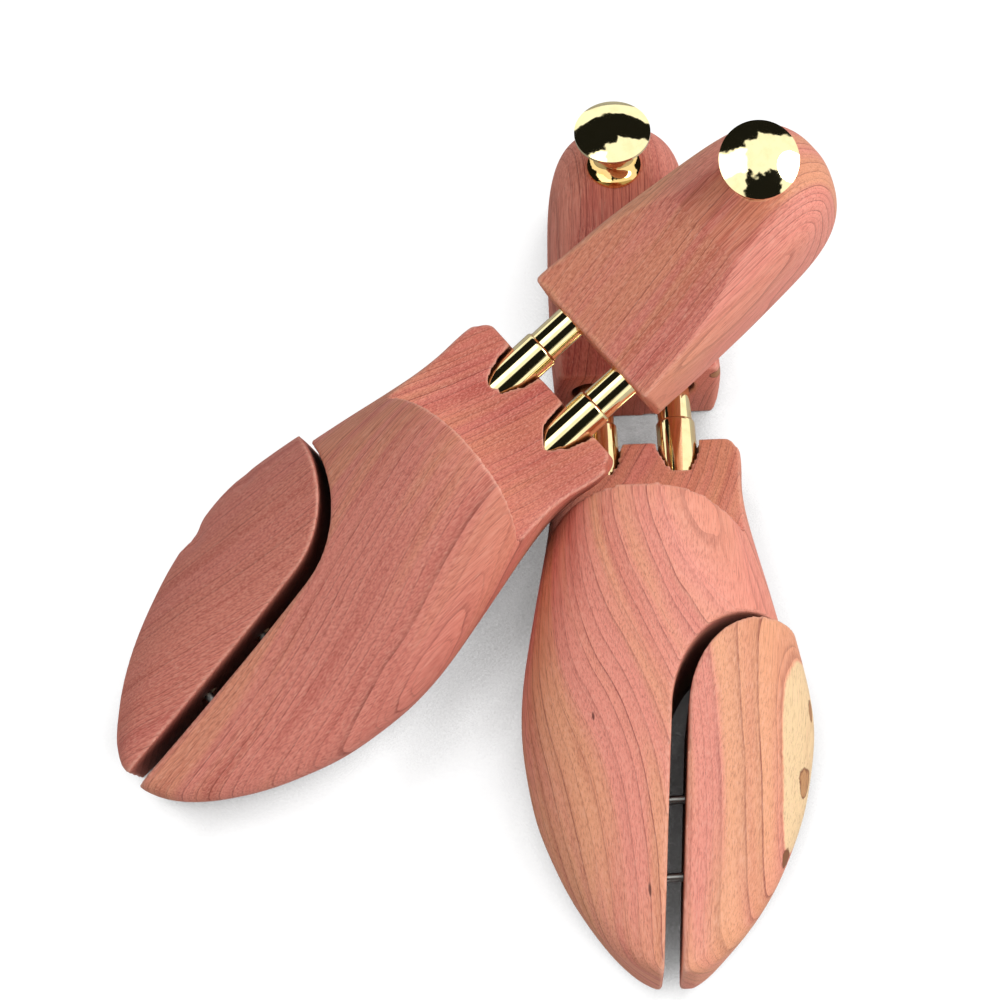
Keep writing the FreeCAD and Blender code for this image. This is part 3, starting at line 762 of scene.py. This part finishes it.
def finished_block(node, axes, look):
    """One sanded cedar block that stands for its solid."""
    piece = sanded(node, look.carve)
    dented(piece.data, DENTS.get(node, ()), axes)
    planed(piece.data, PLANED.get(node, 0.0), axes)
    piece.data.materials.append(cedar(node, axes, look))
    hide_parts(node)
    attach(piece, frame["nodes"][node]["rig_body"])
    return piece


def each_block(name, look):
    """The same block of both trees."""
    for prefix in TREES:
        finished_block(prefix + name, TreeAxes(prefix), look)


# Metal
def dress(node, material):
    """Gives a carried-over piece its finish."""
    slots = frame["nodes"][node].data.materials
    slots.clear()
    slots.append(material)


def brass(name, look, lacquer):
    """Lacquered brass, polished, with faint rubbing marks and amber where the lacquer lies thick."""
    metal = Finish(bpy.data.materials.new(name))
    spot = metal.node("ShaderNodeTexCoord", out="Object")
    smear = metal.cloud(metal.scaled(spot, 260.0), 3.0)
    rub = metal.cloud(metal.scaled(spot, 2400.0), 2.0)
    tint = metal.mix(smear.fade(0.4, 0.75) * 0.14 + lacquer, look.gold, look.amber)
    matt = look.polish + (smear - 0.4).most(0.0) * 0.08 + rub * 0.02
    bump = metal.node("ShaderNodeBump", None, {"Strength": 0.02, "Distance": 0.0001, "Height": smear})
    sockets = {"Base Color": tint, "Metallic": 1.0, "Roughness": matt, "Normal": bump}
    return metal.show("ShaderNodeBsdfPrincipled", sockets)


def steel(name, look):
    """Drawn steel wire with a dull drag along it."""
    metal = Finish(bpy.data.materials.new(name))
    spot = metal.node("ShaderNodeTexCoord", out="Object")
    drag = metal.cloud(metal.scaled(spot, 900.0), 2.0)
    tint = metal.mix(drag.fade(0.45, 0.8) * 0.3, look.steel, tone(120, 118, 114))
    sockets = {"Base Color": tint, "Metallic": 1.0, "Roughness": 0.26 + drag * 0.16}
    return metal.show("ShaderNodeBsdfPrincipled", sockets)


def squeezed(node, joint_name, material):
    """A copy of a spring with its wire finish, carried by its body; it keeps its full length as its joint
    closes.
    """
    source = frame["nodes"][node]
    joint = joint_named(joint_name)
    closing = -Vector(joint["axis"]).normalized()
    travel = max(abs(limit) for limit in joint["range_m"])
    coil = placed(node + "_coil", source.data.copy())
    coil.data.materials.clear()
    coil.data.materials.append(material)
    reach = [corner.co.dot(closing) for corner in coil.data.vertices]
    length = max(reach) - min(reach)
    body = source["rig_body"]
    held = min(reach) if body == joint["child"] else max(reach)
    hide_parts(node)
    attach(coil, body)
    closing * held
    (length - travel) / length
    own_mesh(coil)


class SHOETREE_OT_fore_blocks(bpy.types.Operator):
    """Sands and grains the main blocks of the fore parts"""

    bl_idname = "shoe_tree.fore_blocks"
    bl_label = "Fore blocks"

    def execute(self, context):
        each_block("fore_block", context.scene.shoe_tree_cedar)
        return {"FINISHED"}


class SHOETREE_OT_toe_side_blocks(bpy.types.Operator):
    """Sands and grains the sprung side pieces of the toes"""

    bl_idname = "shoe_tree.toe_side_blocks"
    bl_label = "Toe side blocks"

    def execute(self, context):
        each_block("toe_side_block", context.scene.shoe_tree_cedar)
        return {"FINISHED"}


class SHOETREE_OT_heel_blocks(bpy.types.Operator):
    """Sands and grains the heel blocks"""

    bl_idname = "shoe_tree.heel_blocks"
    bl_label = "Heel blocks"

    def execute(self, context):
        each_block("heel_block", context.scene.shoe_tree_cedar)
        return {"FINISHED"}


class SHOETREE_OT_knobs(bpy.types.Operator):
    """Polishes the pull knobs"""

    bl_idname = "shoe_tree.knobs"
    bl_label = "Knobs"

    def execute(self, context):
        look = context.scene.shoe_tree_brass
        head = brass("brass_knob_head", look, 0.0)
        stem = brass("brass_knob_stem", look, 0.55)
        for prefix in TREES:
            dress(prefix + "knob_head", head)
            dress(prefix + "knob_stem", stem)
        return {"FINISHED"}


class SHOETREE_OT_tubes(bpy.types.Operator):
    """Polishes the telescoping tubes and their guides"""

    bl_idname = "shoe_tree.tubes"
    bl_label = "Tubes"

    def execute(self, context):
        look = context.scene.shoe_tree_brass
        outer = brass("brass_sleeve_tube", look, 0.1)
        inner = brass("brass_slide_tube", look, 0.05)
        guide = brass("brass_tube_guide", look, 0.4)
        for prefix in TREES:
            for side in ("lateral", "medial"):
                dress(prefix + "sleeve_tube_" + side, outer)
                dress(prefix + "slide_tube_" + side, inner)
                dress(prefix + "tube_guide_" + side, guide)
        return {"FINISHED"}


class SHOETREE_OT_pins(bpy.types.Operator):
    """Finishes the toe pins, their bushes and the set pins"""

    bl_idname = "shoe_tree.pins"
    bl_label = "Pins and bushes"

    def execute(self, context):
        look = context.scene.shoe_tree_brass
        pin = steel("steel_toe_pin", look)
        bush = brass("brass_toe_bush", look, 0.3)
        nail = steel("steel_set_pin", look)
        for prefix in TREES:
            for end in ("front", "rear"):
                dress(prefix + "toe_pin_" + end, pin)
                dress(prefix + "toe_bush_" + end, bush)
            dress(prefix + "fore_set_pins", nail)
            dress(prefix + "heel_set_pins", nail)
        return {"FINISHED"}


class SHOETREE_OT_springs(bpy.types.Operator):
    """Finishes the springs and the knob screws"""

    bl_idname = "shoe_tree.springs"
    bl_label = "Springs and screws"

    def execute(self, context):
        wire = steel("steel_spring_wire", context.scene.shoe_tree_brass)
        for prefix in TREES:
            for side in ("lateral", "medial"):
                squeezed(prefix + "tube_spring_" + side, prefix + "heel_slide", wire)
            for end in ("front", "rear"):
                squeezed(prefix + "toe_spring_" + end, prefix + "toe_slide", wire)
            dress(prefix + "knob_screw", wire)
        return {"FINISHED"}


# Stage
def panel(ways, wobble, least, most):
    """1 inside a ragged panel of the room, from its lowest to its highest width, depth and height."""
    inside = 1.0
    for way, low, high in zip(ways, least, most):
        here = way + wobble
        inside = here.fade(low, low + PANEL_EDGE) * (1 - here.fade(high, high + PANEL_EDGE)) * inside
    return inside


def room(look):
    """A white room that gives even light, with dark and bright panels that only polished brass shows."""
    world = bpy.data.worlds.new("white_room")
    bpy.context.scene.world = world
    air = Finish(world)
    way = air.node("ShaderNodeTexCoord", out="Generated")
    parts = air.node("ShaderNodeSeparateXYZ", None, {0: way}).socket.node.outputs
    ways = [Wire(air, part) for part in parts]
    ragged = air.cloud(air.scaled(way, 5.0), 2.0, 0.5)
    wobble = (ragged - 0.5) * PANEL_WOBBLE
    back, corner, front = [panel(ways, wobble, *corners) for corners in DARK_PANELS]
    shown = air.mix(panel(ways, wobble, *BRIGHT_PANEL), look.cream, BRIGHT)
    shown = air.mix(back.most(corner).most(front), shown, DARK)
    rays = air.node("ShaderNodeLightPath").socket.node.outputs
    glossy = Wire(air, rays["Is Glossy Ray"])
    seen_through = Wire(air, rays["Is Camera Ray"]).most(Wire(air, rays["Is Transmission Ray"]))
    even = air.node("ShaderNodeBackground", None, {"Color": WHITE, "Strength": look.sky})
    panels = air.node("ShaderNodeBackground", None, {"Color": shown, "Strength": 1.0})
    white = air.node("ShaderNodeBackground", None, {"Color": WHITE, "Strength": 1.0})
    seen = air.node("ShaderNodeMixShader", None, {0: glossy, 1: even, 2: panels})
    seen = air.node("ShaderNodeMixShader", None, {0: seen_through, 1: seen, 2: white})
    air.node("ShaderNodeOutputWorld", None, {"Surface": seen})


def floor():
    """A pale floor that stays white to the eye, keeps a soft shadow and has painted shade in the tight gaps.
    """
    size = FLOOR_HALF
    mesh = bpy.data.meshes.new("pale_floor")
    corners = [(-size, -size, 0.0), (size, -size, 0.0), (size, size, 0.0), (-size, size, 0.0)]
    mesh.from_pydata(corners, [], [(0, 1, 2, 3)])
    top = placed("pale_floor", mesh)
    top.location.z = CAD_BOX[0].z - FLOOR_DROP
    pale = Finish(bpy.data.materials.new("pale_floor"))
    rays = pale.node("ShaderNodeLightPath").socket.node.outputs
    eye = Wire(pale, rays["Is Camera Ray"]).most(Wire(pale, rays["Is Transmission Ray"]))
    # Painted shade: where the floor lies close under or between the blocks, its glow goes dark
    reach = {"Distance": FLOOR_GAP_SHADE_REACH}
    open_air = pale.node("ShaderNodeAmbientOcclusion", {"samples": 4}, reach, out="AO")
    shade = pale.mix(open_air.fade(*FLOOR_GAP_SHADE_FADE), FLOOR_GAP_SHADE, FLOOR_GLOW)
    matt = pale.node("ShaderNodeBsdfDiffuse", None, {"Color": FLOOR_MATT})
    glow = pale.node("ShaderNodeEmission", None, {"Color": shade, "Strength": 1.0})
    kept = pale.node("ShaderNodeMixShader", None, {0: FLOOR_GLOW_SHARE, 1: matt, 2: glow})
    dull = pale.node("ShaderNodeBsdfDiffuse", None, {"Color": FLOOR_BOUNCE})
    mixed = pale.node("ShaderNodeMixShader", None, {0: eye, 1: dull, 2: kept})
    pale.node("ShaderNodeOutputMaterial", None, {"Surface": mixed})
    mesh.materials.append(pale.owner)


def lamp(look):
    """A large soft lamp from the right and the front."""
    light = bpy.data.lights.new("soft_key", "AREA")
    light.shape = "DISK"
    light.size = LAMP_WIDTH
    light.energy = look.lamp
    key = placed("soft_key", light)
    middle = Vector(look.target)
    key.location = middle + Vector(LAMP_AWAY)
    key.rotation_euler = (middle - key.location).to_track_quat("-Z", "Y").to_euler()


def camera(look):
    """The camera at the height and distance of the picture."""
    data = bpy.data.cameras.new("picture")
    data.lens = look.lens
    data.sensor_width = SENSOR_MILLIMETRES
    data.clip_start = NEAREST_SEEN
    data.clip_end = FARTHEST_SEEN
    eye = placed("picture", data)
    back = Vector((0.0, -math.cos(look.elevation), math.sin(look.elevation)))
    eye.location = Vector(look.target) + back * look.distance
    eye.rotation_euler = (math.pi / 2 - look.elevation, 0.0, 0.0)
    bpy.context.scene.camera = eye


class SHOETREE_OT_stage(bpy.types.Operator):
    """Sets the floor, the room, the lamp and the camera"""

    bl_idname = "shoe_tree.stage"
    bl_label = "Stage"

    def execute(self, context):
        look = context.scene.shoe_tree_stage
        context.scene.view_settings.view_transform = "Standard"
        room(look)
        floor()
        lamp(look)
        camera(look)
        return {"FINISHED"}


class SHOETREE_PT_panel(bpy.types.Panel):
    """Lists the pieces of the shoe trees with their sizes and colours"""

    bl_idname = "SHOETREE_PT_panel"
    bl_label = "Shoe trees"
    bl_space_type = "VIEW_3D"
    bl_region_type = "UI"
    bl_category = "Shoe trees"

    def draw(self, context):
        for operator in OPERATORS:
            self.layout.operator(operator.bl_idname)
        scene = context.scene
        for look in (scene.shoe_tree_cedar, scene.shoe_tree_brass, scene.shoe_tree_stage):
            for name in look.__annotations__:
                self.layout.prop(look, name)


OPERATORS = (
    SHOETREE_OT_fore_blocks,
    SHOETREE_OT_toe_side_blocks,
    SHOETREE_OT_heel_blocks,
    SHOETREE_OT_knobs,
    SHOETREE_OT_tubes,
    SHOETREE_OT_pins,
    SHOETREE_OT_springs,
    SHOETREE_OT_stage,
)
CLASSES = (CedarLook, BrassLook, StageLook, *OPERATORS, SHOETREE_PT_panel)


def register():
    for listed in CLASSES:
        bpy.utils.register_class(listed)
    bpy.types.Scene.shoe_tree_cedar = PointerProperty(type=CedarLook)
    bpy.types.Scene.shoe_tree_brass = PointerProperty(type=BrassLook)
    bpy.types.Scene.shoe_tree_stage = PointerProperty(type=StageLook)


def unregister():
    del bpy.types.Scene.shoe_tree_stage
    del bpy.types.Scene.shoe_tree_brass
    del bpy.types.Scene.shoe_tree_cedar
    for listed in reversed(CLASSES):
        bpy.utils.unregister_class(listed)


def main():
    register()
    bpy.ops.shoe_tree.fore_blocks()
    bpy.ops.shoe_tree.toe_side_blocks()
    bpy.ops.shoe_tree.heel_blocks()
    bpy.ops.shoe_tree.knobs()
    bpy.ops.shoe_tree.tubes()
    bpy.ops.shoe_tree.pins()
    bpy.ops.shoe_tree.springs()
    bpy.ops.shoe_tree.stage()


if __name__ == "__main__":
    main()
